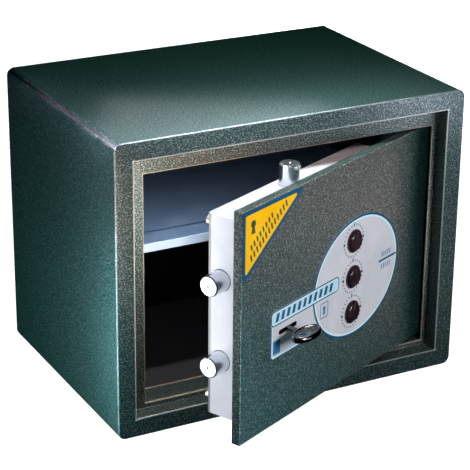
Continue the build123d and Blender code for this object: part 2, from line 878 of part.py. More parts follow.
with BuildPart() as top_bolt:
    with BuildSketch(at_height(top_bolt_foot)):
        with Locations((top_bolt_u, bolt_v)):
            Circle(bolt_radius)
    extrude(amount=top_bolt_length)
    chamfer(top_bolt.faces().sort_by(Axis.Z)[-1].edges(), length=bolt_chamfer)
    with BuildSketch(at_height(top_bolt_foot + top_bolt_length)):
        with Locations((top_bolt_u, bolt_v)):
            Circle(bolt_centre_mark)
    extrude(amount=-bolt_centre_mark / 2, taper=40, mode=Mode.SUBTRACT)
    with BuildSketch(at_height(top_bolt_foot)):
        with Locations((top_bolt_u, rod_v)):
            Rectangle(rod_tang_width, strip_thickness, align=(Align.CENTER, Align.MIN))
    extrude(amount=rod_tang_bite, mode=Mode.SUBTRACT)

# The top rod carries the rack beside the pinion and steps across to the top bolt.
with BuildPart() as top_rod:
    tang_right = top_bolt_u + rod_tang_width / 2
    with BuildSketch(at_depth(rod_v)):
        with Locations((rod_left, rod_foot)):
            Rectangle(rod_right - rod_left, rod_step_top - rod_foot, align=Align.MIN)
        with Locations((rod_left, rod_step_bottom)):
            Rectangle(tang_right - rod_left, rod_step_height, align=Align.MIN)
        with Locations((tang_right, rod_step_bottom)):
            Rectangle(
                rod_tang_width,
                top_bolt_foot + rod_tang_bite - rod_step_bottom,
                align=(Align.MAX, Align.MIN),
            )
        for outline in rack_teeth(rod_foot + 4 - key_height, rod_rack_top - key_height):
            with BuildLine():
                Polyline(*[(key_u + b, key_height + a) for a, b in outline], close=True)
            make_face()
    extrude(amount=-strip_thickness)

# Dials


def knob(dial_height):
    """A low round knob: a flat skirt, a fluted grip and an index groove at the top."""
    back = label_thickness + knob_lift
    with BuildPart() as dial:
        with BuildSketch(at_depth(-back)):
            with Locations((dial_u, dial_height)):
                Circle(knob_radius)
        extrude(amount=knob_skirt)
        with BuildSketch(at_depth(-back - knob_skirt)):
            with Locations((dial_u, dial_height)):
                Circle(grip_radius)
        extrude(amount=grip_height)
        chamfer(dial.faces().sort_by(Axis(door_corner, inward))[0].edges(), length=grip_chamfer)
        with BuildSketch(at_depth(-back - knob_skirt)):
            with Locations((dial_u, dial_height)):
                with PolarLocations(grip_radius + flute_radius * 0.4, flute_count, start_angle=15):
                    Circle(flute_radius)
        extrude(amount=grip_height, mode=Mode.SUBTRACT)
        with BuildSketch(at_depth(-back - knob_skirt - grip_height)):
            with Locations((dial_u, dial_height + grip_radius - grip_chamfer - index_length / 2)):
                Rectangle(index_width, index_length)
        extrude(amount=-index_depth, mode=Mode.SUBTRACT)
        with BuildSketch(at_depth(-back)):
            with Locations((dial_u, dial_height)):
                Circle(spindle_radius)
        extrude(amount=spindle_front - back, mode=Mode.SUBTRACT)
    return dial


def spindle(dial_height):
    """A round spindle with a collar behind its bush."""
    with BuildPart() as rod:
        with BuildSketch(at_depth(-spindle_front)):
            with Locations((dial_u, dial_height)):
                Circle(spindle_radius)
        extrude(amount=-(spindle_front + spindle_end))
        with BuildSketch(at_depth(spindle_collar[0])):
            with Locations((dial_u, dial_height)):
                Circle(spindle_collar_radius)
        extrude(amount=-(spindle_collar[1] - spindle_collar[0]))
    return rod


def wheel(dial_height, gate_angle):
    """A combination wheel with a hub in front and one gate in its rim."""
    with BuildPart() as disc:
        with BuildSketch(at_depth(arm_v)):
            with Locations((dial_u, dial_height)):
                Circle(wheel_radius)
        extrude(amount=-strip_thickness)
        with BuildSketch(at_depth(arm_v)):
            with Locations((dial_u, dial_height)):
                Circle(wheel_hub_radius)
        extrude(amount=wheel_hub_length)
        with BuildSketch(at_depth(arm_v)):
            with Locations((dial_u, dial_height)):
                with PolarLocations(wheel_radius, 1, start_angle=gate_angle):
                    Rectangle(2 * gate_depth, gate_width)
        extrude(amount=-strip_thickness, mode=Mode.SUBTRACT)
        with BuildSketch(at_depth(arm_v - wheel_hub_length)):
            with Locations((dial_u, dial_height)):
                Circle(spindle_radius)
        extrude(amount=-(strip_thickness + wheel_hub_length), mode=Mode.SUBTRACT)
    return disc


pieces = {
    "body_shell": body_shell,
    "back_panel": back_panel,
    "door_frame": door_frame,
    "hinge_bracket_lower": hinge_bracket_lower,
    "hinge_bracket_upper": hinge_bracket_upper,
    "hinge_pins": hinge_pins,
    "hinge_washer": hinge_washer,
    "shelf": shelf,
    "shelf_supports": shelf_supports,
    "shelf_rivets": shelf_rivets,
    "floor_mat": floor_mat,
    "door_plate": door_plate,
    "face_label": face_label,
    "corner_sticker": corner_sticker,
    "lock_case": lock_case,
    "rear_cover": rear_cover,
    "cover_studs": cover_studs,
    "cover_nuts": cover_nuts,
    "hinge_block_lower": hinge_block_lower,
    "hinge_block_upper": hinge_block_upper,
    "lock_housing": lock_housing,
    "housing_screws": housing_screws,
    "spindle_bushes": spindle_bushes,
    "side_bolt_guides": side_bolt_guides,
    "top_bolt_guide": top_bolt_guide,
    "rod_guide": rod_guide,
    "bar_guide": bar_guide,
    "key_rotor": key_rotor,
    "key": key,
    "bolt_bar": bolt_bar,
    "side_bolt_upper": side_bolt_upper,
    "side_bolt_lower": side_bolt_lower,
    "top_bolt": top_bolt,
    "top_rod": top_rod,
}
for name, dial_height, gate_angle in zip(dial_names, dial_heights, gate_angles):
    pieces["knob_" + name] = knob(dial_height)
    pieces["spindle_" + name] = spindle(dial_height)
    pieces["wheel_" + name] = wheel(dial_height, gate_angle)

for name, piece in pieces.items():
    piece.part.label = name
    export_step(piece.part, "parts/" + name + ".step")
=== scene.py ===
"""Looks for the combination safe: paint, plating, print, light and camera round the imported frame.

Metres, in the part's own frame: +Z up, front facing -Y, origin under the middle of the cabinet.
The prints are drawn in millimetres on the door's face, in the door coordinates below.
"""

import json
import math

import bmesh
import bpy
from mathutils import Matrix, Vector


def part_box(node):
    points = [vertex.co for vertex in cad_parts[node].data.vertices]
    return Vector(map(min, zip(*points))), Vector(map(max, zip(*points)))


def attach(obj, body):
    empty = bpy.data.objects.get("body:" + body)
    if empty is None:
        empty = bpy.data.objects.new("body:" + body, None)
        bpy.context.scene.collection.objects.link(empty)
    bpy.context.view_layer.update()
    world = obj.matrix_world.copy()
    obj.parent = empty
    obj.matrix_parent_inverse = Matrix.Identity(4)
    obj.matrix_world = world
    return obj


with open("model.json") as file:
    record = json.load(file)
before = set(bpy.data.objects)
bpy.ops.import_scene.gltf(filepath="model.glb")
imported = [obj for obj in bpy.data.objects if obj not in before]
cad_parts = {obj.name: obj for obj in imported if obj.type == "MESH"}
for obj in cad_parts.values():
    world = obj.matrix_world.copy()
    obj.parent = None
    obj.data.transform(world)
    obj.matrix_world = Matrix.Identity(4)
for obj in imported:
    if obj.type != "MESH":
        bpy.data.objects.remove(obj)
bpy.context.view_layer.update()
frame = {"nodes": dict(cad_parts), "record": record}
nodes = frame["nodes"]
joints = {joint["name"]: joint for joint in frame["record"]["behaviour"]["joints"]}
scene = bpy.context.scene

MM = 0.001

# The cabinet, in metres: its box and back from the frame, then its rim, flange and recess
CABINET_LOW, CABINET_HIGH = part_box("body_shell")
HALF_WIDTH = CABINET_HIGH.x
HALF_HEIGHT = CABINET_HIGH.z / 2
FRONT = CABINET_LOW.y
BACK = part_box("back_panel")[1].y

RIM = 0.019
SKIN = 0.0015
FLANGE_LEFT, FLANGE_RIGHT, FLANGE_TOP, FLANGE_LOW = 0.018, 0.006, 0.021, 0.005
RECESS = 0.018
FRAME_SHEET = 0.002
SILL_DEPTH = 0.030

FLANGE_FACE = FRONT + RECESS
OPENING_LEFT = -HALF_WIDTH + RIM + FLANGE_LEFT
OPENING_RIGHT = HALF_WIDTH - RIM - FLANGE_RIGHT
OPENING_LOW = RIM + FLANGE_LOW
OPENING_TOP = CABINET_HIGH.z - RIM - FLANGE_TOP

# Door coordinates, in mm: u from the free edge, v behind the front face, z above the lower edge
OPEN_ANGLE = math.radians(-joints["door_swing"]["range_deg"][0])
ALONG = Vector((math.cos(OPEN_ANGLE), math.sin(OPEN_ANGLE), 0))
INWARD = Vector((-math.sin(OPEN_ANGLE), math.cos(OPEN_ANGLE), 0))
UP = Vector((0, 0, 1))


def span(node, axis):
    """Where a node begins and ends in this direction, in metres."""
    places = [vertex.co.dot(axis) for vertex in nodes[node].data.vertices]
    return min(places), max(places)


DOOR_CORNER = sum((axis * span("door_plate", axis)[0] for axis in (ALONG, INWARD, UP)), Vector())


def door_span(node, axis):
    """Where a node begins and ends in the door's coordinates."""
    return [(place - DOOR_CORNER.dot(axis)) / MM for place in span(node, axis)]


def door_centre(node):
    """The middle of a node on the door's face: u and z."""
    return [sum(door_span(node, axis)) / 2 for axis in (ALONG, UP)]


def at_door(u, v, z):
    """A point of the open door, in metres, from its door coordinates."""
    return DOOR_CORNER + (ALONG * u + INWARD * v + UP * z) * MM


# The key's slot through the door plate, in door coordinates
KEY_U, KEY_HEIGHT = door_centre("key_rotor")
KEYHOLE_HALF_U, KEYHOLE_HALF_Z = 15.0, 3.5
KEYHOLE_FRONT, KEYHOLE_REAR = 0.3, 9.2


# Materials


class Nodes:
    """Short calls for the nodes of one tree."""

    def __init__(self, tree):
        self.tree = tree
        self.tree.nodes.clear()

    def put(self, value, target):
        """Sets a socket, or links it where the value is another node's output."""
        if isinstance(value, bpy.types.NodeSocket):
            self.tree.links.new(value, target)
        elif target.type == "RGBA":
            target.default_value = (*value, 1)
        else:
            target.default_value = value

    def node(self, kind, *values, **named):
        """A new node: values fill its first sockets in order, the others go by name."""
        made = self.tree.nodes.new(kind)
        for target, value in zip(made.inputs, values):
            self.put(value, target)
        for name, value in named.items():
            self.put(value, made.inputs[name.replace("_", " ")])
        return made

    def math(self, operation, first, second):
        made = self.node("ShaderNodeMath", first, second)
        made.operation = operation
        return made.outputs[0]

    def times(self, first, *others):
        """The product of masks: 1 where all are 1."""
        for other in others:
            first = self.math("MULTIPLY", first, other)
        return first

    def most(self, first, *others):
        """The highest of masks: 1 where any is 1."""
        for other in others:
            first = self.math("MAXIMUM", first, other)
        return first

    def between(self, value, low, high):
        """1 where the value lies between these, else 0."""
        return self.times(
            self.math("GREATER_THAN", value, low),
            self.math("LESS_THAN", value, high),
        )

    def distance(self, value, place):
        return self.math("ABSOLUTE", self.math("SUBTRACT", value, place), 0.0)

    def near(self, value, place, reach):
        """1 on the plane value = place, fading to 0 at this distance from it."""
        return self.grade(self.distance(value, place), reach * 0.4, reach, 1, 0)

    def grade(self, factor, low, high, start=0.0, end=1.0):
        """A straight grade from start, at this low factor, to end, at this high one."""
        return self.node("ShaderNodeMapRange", factor, low, high, start, end).outputs[0]

    def ramp(self, factor, *stops):
        made = self.node("ShaderNodeValToRGB", factor)
        elements = made.color_ramp.elements
        while len(elements) < len(stops):
            elements.new(0.5)
        for element, (position, colour) in zip(elements, stops):
            element.position = position
            element.color = (*colour, 1)
        return made.outputs[0]

    def mix(self, factor, first, second):
        made = self.tree.nodes.new("ShaderNodeMix")
        made.data_type = "RGBA"
        factor_socket, first_socket, second_socket = (made.inputs[index] for index in (0, 6, 7))
        self.put(factor, factor_socket)
        self.put(first, first_socket)
        self.put(second, second_socket)
        return made.outputs[2]

    def split(self, vector):
        return self.node("ShaderNodeSeparateXYZ", vector).outputs


class Shader(Nodes):
    """A material with one Principled shader, patterned in the object's own coordinates."""

    def __init__(self, name, **sockets):
        self.material = bpy.data.materials.new(name)
        self.material.use_nodes = True
        super().__init__(self.material.node_tree)
        output = self.node("ShaderNodeOutputMaterial")
        self.principled = self.node("ShaderNodeBsdfPrincipled", **sockets)
        self.put(self.principled.outputs[0], output.inputs["Surface"])
        self.place = self.node("ShaderNodeTexCoord").outputs["Object"]

    def set(self, socket, value):
        self.put(value, self.principled.inputs[socket])

    def noise(self, scale, detail=2.0, rough=0.5):
        made = self.node(
            "ShaderNodeTexNoise", Vector=self.place, Scale=scale, Detail=detail, Roughness=rough
        )
        return made.outputs[0]

    def bump(self, height, strength, distance):
        made = self.node("ShaderNodeBump", Height=height, Strength=strength, Distance=distance)
        self.set("Normal", made.outputs[0])


BARE_METAL = (0.4, 0.42, 0.43)
# Near-black for the cabinet's inner faces: dark paint, and painted shade for the dark inside of the
# cabinet
INNER_BLACK_AND_SHADE = (0.006, 0.007, 0.009)


def hammered(name, dark, middle, light):
    """Hammered enamel: a pebbled dark ground with bare metal flakes a millimetre or so across."""
    s = Shader(name, IOR=1.7, Roughness=0.34, Coat_Weight=0.05, Coat_Roughness=0.3)
    flakes = s.noise(620, 2, 0.55)
    grit = s.noise(1500, 2, 0.6)
    grain = s.math("ADD", s.times(flakes, 0.6), s.times(grit, 0.4))
    cloud = s.grade(s.noise(9), 0.35, 0.65, 0, 0.3)
    ground = s.mix(cloud, s.ramp(grain, (0.4, dark), (0.5, middle), (0.62, light)), middle)
    metal = s.grade(grain, 0.52, 0.6, 0, 0.9)
    s.set("Metallic", metal)
    s.paint = s.mix(metal, ground, BARE_METAL)
    s.set("Base Color", s.paint)
    s.bump(grain, 0.77, 0.8 * MM)
    return s


def cabinet_shader():
    """Hammered enamel outside, pale along the front folds with wear and a painted highlight,
    near-black on the faces inside as dark paint and painted shade.
    """
    s = hammered(
        "cabinet enamel", (0.0005, 0.012, 0.010), (0.003, 0.036, 0.031), (0.06, 0.15, 0.14)
    )
    outer_reach, inner_reach, front_reach = 1.6 * MM, 1.3 * MM, 2.2 * MM
    inner_x, inner_z = HALF_WIDTH - RIM, HALF_HEIGHT - RIM
    x, y, z = s.split(s.place)
    across = s.distance(x, 0.0)
    upright = s.distance(z, HALF_HEIGHT)

    # The inner faces lie more than a skin's depth behind the outer ones
    spread = s.most(
        s.math("DIVIDE", across, HALF_WIDTH - SKIN),
        s.math("DIVIDE", upright, HALF_HEIGHT - SKIN),
    )
    inside = s.times(
        s.math("LESS_THAN", spread, 1.0),
        s.between(y, FRONT + SKIN, BACK - 0.3 * MM),
    )

    front = s.near(y, FRONT, front_reach)
    outer_fold = s.most(
        s.near(across, HALF_WIDTH, outer_reach),
        s.near(upright, HALF_HEIGHT, outer_reach),
    )
    beside = s.times(
        s.near(across, inner_x, inner_reach),
        s.math("LESS_THAN", upright, inner_z + SKIN),
    )
    above = s.times(
        s.near(upright, inner_z, inner_reach),
        s.math("LESS_THAN", across, inner_x + SKIN),
    )
    inner_edge = s.most(beside, above)
    # Pale along the front folds: partly wear, partly a painted highlight where the folds catch the
    # light
    patchy = s.grade(s.noise(70), 0.3, 0.7, 0.2, 0.7)
    worn = s.times(s.most(outer_fold, inner_edge), front, patchy)
    painted = s.mix(worn, s.paint, (0.3, 0.33, 0.35))
    # A brighter painted highlight along the rim's inner fold, over the wear
    painted = s.mix(s.times(inner_edge, front, 0.8), painted, (0.7, 0.68, 0.62))
    # The inner faces near-black: dark paint and painted shade inside the cabinet
    s.set("Base Color", s.mix(inside, painted, INNER_BLACK_AND_SHADE))
    return s.material


def frame_shader():
    """The frame's enamel, with a painted warm highlight, tan, along the sheet's edge round the
    opening and along the sill's rear edge.
    """
    s = hammered("frame enamel", (0.001, 0.009, 0.007), (0.008, 0.03, 0.023), (0.14, 0.18, 0.14))
    reach, sill_reach = 1.3 * MM, 3.5 * MM
    x, y, z = s.split(s.place)
    beside = s.times(
        s.most(s.near(x, OPENING_LEFT, reach), s.near(x, OPENING_RIGHT, reach)),
        s.between(z, OPENING_LOW - reach, OPENING_TOP + reach),
    )
    above = s.times(
        s.most(s.near(z, OPENING_TOP, reach), s.near(z, OPENING_LOW, reach)),
        s.between(x, OPENING_LEFT - reach, OPENING_RIGHT + reach),
    )
    on_flange = s.math("LESS_THAN", y, FLANGE_FACE + FRAME_SHEET + 0.5 * MM)
    sill_highlight = s.times(
        s.near(y, FLANGE_FACE + SILL_DEPTH - 0.8 * MM, sill_reach),
        s.math("LESS_THAN", z, OPENING_LOW + 6 * MM),
    )
    # Painted highlight, tan and patchy, on the sheet's edges round the opening and on the sill's
    # rear edge
    edges = s.most(s.times(s.most(beside, above), on_flange), sill_highlight)
    patchy = s.grade(s.noise(60), 0.3, 0.7, 0.35, 0.85)
    s.set("Base Color", s.mix(s.times(edges, patchy), s.paint, (0.62, 0.5, 0.36)))
    return s.material


def door_shader():
    """The door's enamel, with painted shade, near-black, on the keyhole's inner walls."""
    s = hammered("door enamel", (0.002, 0.012, 0.011), (0.010, 0.042, 0.038), (0.11, 0.18, 0.165))
    x, y, z = s.split(s.place)
    from_x = s.math("SUBTRACT", x, DOOR_CORNER.x)
    from_y = s.math("SUBTRACT", y, DOOR_CORNER.y)
    along = s.math("ADD", s.times(from_x, ALONG.x), s.times(from_y, ALONG.y))
    inward = s.math("ADD", s.times(from_x, INWARD.x), s.times(from_y, INWARD.y))
    key_z = DOOR_CORNER.z + KEY_HEIGHT * MM
    # Painted shade: the keyhole's walls are near-black, standing in for the dark depth of the slot
    keyhole_shade = s.times(
        s.between(along, (KEY_U - KEYHOLE_HALF_U) * MM, (KEY_U + KEYHOLE_HALF_U) * MM),
        s.between(z, key_z - KEYHOLE_HALF_Z * MM, key_z + KEYHOLE_HALF_Z * MM),
        s.between(inward, KEYHOLE_FRONT * MM, KEYHOLE_REAR * MM),
    )
    s.set("Base Color", s.mix(keyhole_shade, s.paint, (0.002, 0.002, 0.002)))
    return s.material


def felt_shader():
    s = Shader("grey felt", Roughness=0.95, Sheen_Weight=0.08, Sheen_Roughness=0.5)
    fibre = s.noise(900, 4, 0.7)
    s.set("Base Color", s.ramp(fibre, (0.3, (0.045, 0.041, 0.042)), (0.7, (0.16, 0.147, 0.15))))
    s.bump(fibre, 0.6, 0.8 * MM)
    return s.material


def shelf_shader():
    s = Shader("shelf enamel", Metallic=0.2, Coat_Weight=0.3, Coat_Roughness=0.2)
    cloud = s.noise(30, 3)
    s.set("Base Color", s.ramp(cloud, (0.3, (0.2, 0.3, 0.46)), (0.7, (0.28, 0.38, 0.55))))
    s.set("Roughness", s.grade(s.noise(400, 3, 0.6), 0.3, 0.7, 0.3, 0.42))
    s.bump(s.noise(700), 0.1, 0.2 * MM)
    return s.material


def case_shader():
    s = Shader("case enamel", Roughness=0.35, Coat_Weight=0.4, Coat_Roughness=0.15)
    cloud = s.noise(40, 3)
    s.set("Base Color", s.ramp(cloud, (0.35, (0.66, 0.67, 0.74)), (0.65, (0.72, 0.73, 0.79))))
    s.bump(s.noise(600), 0.06, 0.2 * MM)
    return s.material


def metal_shader(name, colour, roughness, worn, relief=1.0):
    """Turned, plated or cast metal: a fine grain and clouds of a slightly darker worn tone."""
    s = Shader(name, Metallic=1.0)
    grain = s.noise(1500, 3, 0.6)
    cloud = s.grade(s.noise(120, 3), 0.4, 0.7, 0, 0.6)
    s.set("Base Color", s.mix(cloud, colour, worn))
    s.set("Roughness", s.grade(grain, 0.3, 0.7, roughness * 0.8, roughness * 1.3))
    s.bump(grain, 0.08 * relief, 0.1 * MM)
    return s.material


def plastic_shader(name, low, high):
    """Moulded plastic with a fine grain."""
    roughness = 0.22
    s = Shader(name, Coat_Weight=0.15, Coat_Roughness=0.2)
    grain = s.noise(800, 3, 0.6)
    s.set("Base Color", s.mix(s.grade(s.noise(60), 0.3, 0.7), low, high))
    s.set("Roughness", s.grade(grain, 0.3, 0.7, roughness * 0.85, roughness * 1.15))
    s.bump(grain, 0.1, 0.1 * MM)
    return s.material


def print_shader(name, low, high):
    """Printed film: an even ink with faint clouding and a soft gloss."""
    s = Shader(name, Coat_Weight=0.3, Coat_Roughness=0.2, Roughness=0.38)
    s.set("Base Color", s.mix(s.grade(s.noise(45, 3), 0.35, 0.65), low, high))
    s.bump(s.noise(300), 0.04, 0.2 * MM)
    return s.material


zinc_plate = metal_shader("zinc plate", (0.62, 0.63, 0.65), 0.32, (0.45, 0.46, 0.48))
blue_ink = print_shader("blue ink", (0.004, 0.075, 0.16), (0.006, 0.1, 0.2))
mid_ink = print_shader("mid blue ink", (0.02, 0.16, 0.34), (0.03, 0.2, 0.4))
deep_ink = print_shader("deep green ink", (0.02, 0.07, 0.05), (0.03, 0.09, 0.07))
white_ink = print_shader("white ink", (0.58, 0.8, 0.9), (0.64, 0.86, 0.94))
pale_ink = print_shader("pale blue ink", (0.42, 0.64, 0.78), (0.48, 0.7, 0.84))
dark_ink = print_shader("dark ink", (0.03, 0.04, 0.05), (0.05, 0.06, 0.08))
index_ink = print_shader("index paint", (0.75, 0.75, 0.76), (0.85, 0.85, 0.86))
yellow_ink = print_shader("yellow ink", (0.96, 0.48, 0.0), (0.98, 0.54, 0.005))

finish_of = {
    "cabinet_paint": cabinet_shader(),
    "frame_paint": frame_shader(),
    "door_paint": door_shader(),
    "shelf_steel": shelf_shader(),
    "floor_felt": felt_shader(),
    "label_film": print_shader("label film", (0.55, 0.555, 0.62), (0.6, 0.6, 0.66)),
    "sticker_film": blue_ink,
    "case_zinc": case_shader(),
    "lock_zinc": metal_shader("cast zinc", (0.42, 0.43, 0.45), 0.5, (0.3, 0.31, 0.33), 2.0),
    "hinge_steel": zinc_plate,
    "nut_steel": zinc_plate,
    "bolt_chrome": metal_shader("turned steel", (0.75, 0.78, 0.84), 0.22, (0.62, 0.65, 0.72), 0.3),
    "key_chrome": metal_shader("key plating", (0.26, 0.23, 0.24), 0.14, (0.12, 0.1, 0.11), 0.6),
    "lock_brass": metal_shader("machined brass", (0.78, 0.6, 0.3), 0.25, (0.6, 0.42, 0.2)),
    "knob_black": plastic_shader("knob plastic", (0.014, 0.006, 0.011), (0.035, 0.018, 0.026)),
}

SOFT_EDGES = {"body_shell": 1.2, "door_frame": 0.8, "shelf": 0.5, "lock_case": 0.5}


def soften(obj, width):
    """Modifiers that weld a CAD node's split faces and round its sharp edges, by a width in mm."""
    weld = obj.modifiers.new("weld", "WELD")
    weld.merge_threshold = 0.005 * MM
    bevel = obj.modifiers.new("bevel", "BEVEL")
    bevel.width = width * MM
    bevel.segments = 2
    bevel.limit_method = "ANGLE"
    bevel.angle_limit = math.radians(35)
    bevel.use_clamp_overlap = True
    bevel.harden_normals = True


for row in frame["record"]["subparts"]:
    obj = nodes[row["node"]]
    obj.data.materials.clear()
    obj.data.materials.append(finish_of[row["material_slot"]])

for node, width in SOFT_EDGES.items():
    soften(nodes[node], width)


# Outlines, as lists of (u, z) in door coordinates


def oval(u, z, half_u, half_z, count=96, start=0.0, sweep=360.0):
    """An ellipse, or with a smaller sweep in degrees an arc with both its ends."""
    steps = count if sweep >= 360 else count + 1
    angles = [math.radians(start + sweep * step / count) for step in range(steps)]
    return [(u + half_u * math.cos(angle), z + half_z * math.sin(angle)) for angle in angles]


def rectangle(left, low, right, top):
    return [(left, low), (right, low), (right, top), (left, top)]


def rounded(left, low, right, top, radius):
    """A rectangle with round corners."""
    points = []
    corners = ((right, top, 0), (left, top, 90), (left, low, 180), (right, low, 270))
    for u, z, start in corners:
        centre_u = u - radius if u == right else u + radius
        centre_z = z - radius if z == top else z + radius
        points += oval(centre_u, centre_z, radius, radius, count=6, start=start, sweep=90)
    return points


def inset_corners(corners, inset, radius, count=5):
    """A convex outline, run anticlockwise, moved inwards and rounded at its corners."""
    edges = []
    for index, corner in enumerate(corners):
        start, end = Vector(corner), Vector(corners[(index + 1) % len(corners)])
        run = (end - start).normalized()
        edges.append((start + Vector((-run.y, run.x)) * (inset + radius), run))
    points = []
    for index, (start, run) in enumerate(edges):
        before, way = edges[index - 1]
        cross = way.x * run.y - way.y * run.x
        gap = start - before
        centre = before + way * ((gap.x * run.y - gap.y * run.x) / cross)
        first = math.atan2(-way.x, way.y)
        turn = math.atan2(cross, way.dot(run))
        for step in range(count + 1):
            angle = first + turn * step / count
            spoke = Vector((math.cos(angle), math.sin(angle))) * radius
            points.append(tuple(centre + spoke))
    return points


def hatching(start, along, count, pitch, width, tall, slant=0.3):
    """A row of leaning bars whose feet run from start in this direction."""
    run = Vector(along).normalized()
    rise = Vector((-run.y, run.x)) * tall + run * tall * slant
    bars = []
    for index in range(count):
        foot = Vector(start) + run * pitch * index
        corners = (foot, foot + run * width, foot + run * width + rise, foot + rise)
        bars.append([tuple(corner) for corner in corners])
    return bars


def keyhole(u, z, radius):
    """A plain keyhole: a round head over a widening foot."""
    head = oval(u, z, radius, radius, count=20, start=-60, sweep=300)
    foot_half, foot_drop = radius * 0.9, radius * 2.6
    return head + [(u - foot_half, z - foot_drop), (u + foot_half, z - foot_drop)]


# Prints on the door: solids a few hundredths of a millimetre thick, on the film that carries them.
# Where one lies over another, CLEAR keeps their faces apart.

INK = 0.05
THIN_INK = 0.04
FIELD_INK = 0.03
LINE = 0.06
CLEAR = 0.01


def piece(name, made, material, body):
    """Makes one piece from a finished bmesh, riding on this body."""
    bmesh.ops.recalc_face_normals(made, faces=made.faces[:])
    mesh = bpy.data.meshes.new(name)
    made.to_mesh(mesh)
    made.free()
    obj = bpy.data.objects.new(name, mesh)
    scene.collection.objects.link(obj)
    obj.data.materials.append(material)
    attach(obj, body)


def sheet(name, outlines, lift, material, thickness=INK, body="door"):
    """Thin printed shapes, standing this far in front of the door's face."""
    made = bmesh.new()
    for outline in outlines:
        front = [made.verts.new(at_door(u, -(lift + thickness), z)) for u, z in outline]
        back = [made.verts.new(at_door(u, -lift, z)) for u, z in outline]
        made.faces.new(front)
        made.faces.new(list(reversed(back)))
        for index in range(len(outline)):
            after = (index + 1) % len(outline)
            made.faces.new((front[index], back[index], back[after], front[after]))
    piece(name, made, material, body)


def stroke(name, points, width, lift, material, closed=True):
    """A printed line as one strip, closed on itself or with two ends."""
    made = bmesh.new()
    rings = []
    count = len(points)
    for index, (u, z) in enumerate(points):
        before = points[index - 1] if closed or index > 0 else points[index]
        after = points[(index + 1) % count] if closed or index < count - 1 else points[index]
        run = Vector((after[0] - before[0], after[1] - before[1])).normalized() * (width / 2)
        section = ((1, lift + LINE), (-1, lift + LINE), (-1, lift), (1, lift))
        rings.append([
            made.verts.new(at_door(u - side * run.y, -height, z + side * run.x))
            for side, height in section
        ])
    for index in range(count if closed else count - 1):
        first, second = rings[index], rings[(index + 1) % count]
        for corner in range(4):
            following = (corner + 1) % 4
            made.faces.new((first[corner], first[following], second[following], second[corner]))
    if not closed:
        made.faces.new(rings[0])
        made.faces.new(list(reversed(rings[-1])))
    piece(name, made, material, "door")


# The label's oval, with a blue line round a white one

label_left, label_right = door_span("face_label", ALONG)
label_low, label_top = door_span("face_label", UP)
on_label = -door_span("face_label", INWARD)[0]
label_half_z = (label_top - label_low) / 2
LABEL_HALF_U = 75.0
BLUE_LINE, WHITE_LINE = 2.4, 1.8


def label_oval(inset):
    u, z = label_right - LABEL_HALF_U, label_low + label_half_z
    return oval(u, z, LABEL_HALF_U - inset, label_half_z - inset)


stroke("label_outline", label_oval(BLUE_LINE / 2), BLUE_LINE, on_label, blue_ink)
stroke("label_border", label_oval(BLUE_LINE + WHITE_LINE / 2), WHITE_LINE, on_label, white_ink)

# The banner across its left part, printed over the oval's lines

BANNER_LOW, BANNER_TOP, BANNER_RIGHT = 103.0, 118.7, 158.0
BANNER_RADIUS = 5.0
BANNER_LINE, BANNER_INNER_LINE = 1.3, 1.2
under_banner = on_label + LINE + CLEAR
on_banner = under_banner + FIELD_INK


def banner_outline(inset):
    return rounded(
        label_left + inset, BANNER_LOW + inset, BANNER_RIGHT - inset, BANNER_TOP - inset,
        BANNER_RADIUS - inset,
    )


sheet("banner_field", [banner_outline(0.3)], under_banner, pale_ink, FIELD_INK)
stroke("banner_outline", banner_outline(0.7), BANNER_LINE, on_banner, blue_ink)
stroke("banner_border", banner_outline(1.9), BANNER_INNER_LINE, on_banner, white_ink)

# The key's field under the banner: lines down its left side, round the corner and along its foot

KEY_FIELD_LOW = 69.0
KEY_FIELD_LINE, KEY_FIELD_INNER_LINE = 1.3, 1.4


def key_field_edge(inset, radius, top, right):
    left, low = label_left + inset, KEY_FIELD_LOW + inset
    corner = oval(left + radius, low + radius, radius, radius, count=6, start=180, sweep=90)
    return [(left, top)] + corner + [(right, low)]


outer_edge = key_field_edge(inset=0.7, radius=4.2, top=BANNER_LOW + 1.0, right=127.6)
inner_edge = key_field_edge(inset=2.1, radius=3.2, top=BANNER_LOW - 0.4, right=124.0)
stroke("keyhole_outline", outer_edge, KEY_FIELD_LINE, on_label, blue_ink, closed=False)
stroke("keyhole_border", inner_edge, KEY_FIELD_INNER_LINE, on_label, white_ink, closed=False)

# Leaning bars on the banner

BANNER_BARS_START = (label_left + 7.0, BANNER_LOW + 3.6)
banner_bars = hatching(BANNER_BARS_START, (1, 0), count=11, pitch=8.8, width=4.4, tall=8.4)
sheet("banner_hatch", banner_bars, on_banner + CLEAR, blue_ink, THIN_INK)

# A line at the right of the dials, between two rows of upright strokes

BAR_LEFT, BAR_LOW, BAR_RIGHT, BAR_TOP = 229.0, 108.2, 261.5, 110.4
ROW_INSET, ROW_LOWS = 5.0, (112.8, 99.6)
sheet("label_bar", [rectangle(BAR_LEFT, BAR_LOW, BAR_RIGHT, BAR_TOP)], on_label, blue_ink, LINE)
label_rows = []
for row_low in ROW_LOWS:
    row_start = (BAR_LEFT + ROW_INSET, row_low)
    label_rows += hatching(row_start, (1, 0), count=5, pitch=3.6, width=1.5, tall=5.6, slant=0)
sheet("label_hatch", label_rows, on_label, mid_ink)

# A keyhole in a small frame, and a box with three lines, both under the banner

MARK_LEFT, MARK_LOW, MARK_RIGHT, MARK_TOP = 127.5, 83.0, 140.0, 98.5
MARK_RADIUS, MARK_LINE = 1.5, 0.9
mark_outline = rounded(MARK_LEFT, MARK_LOW, MARK_RIGHT, MARK_TOP, MARK_RADIUS)
stroke("mark_frame", mark_outline, MARK_LINE, on_label, mid_ink)
sheet("mark_keyhole", [keyhole(133.7, 92.5, 2.4)], on_label, mid_ink)

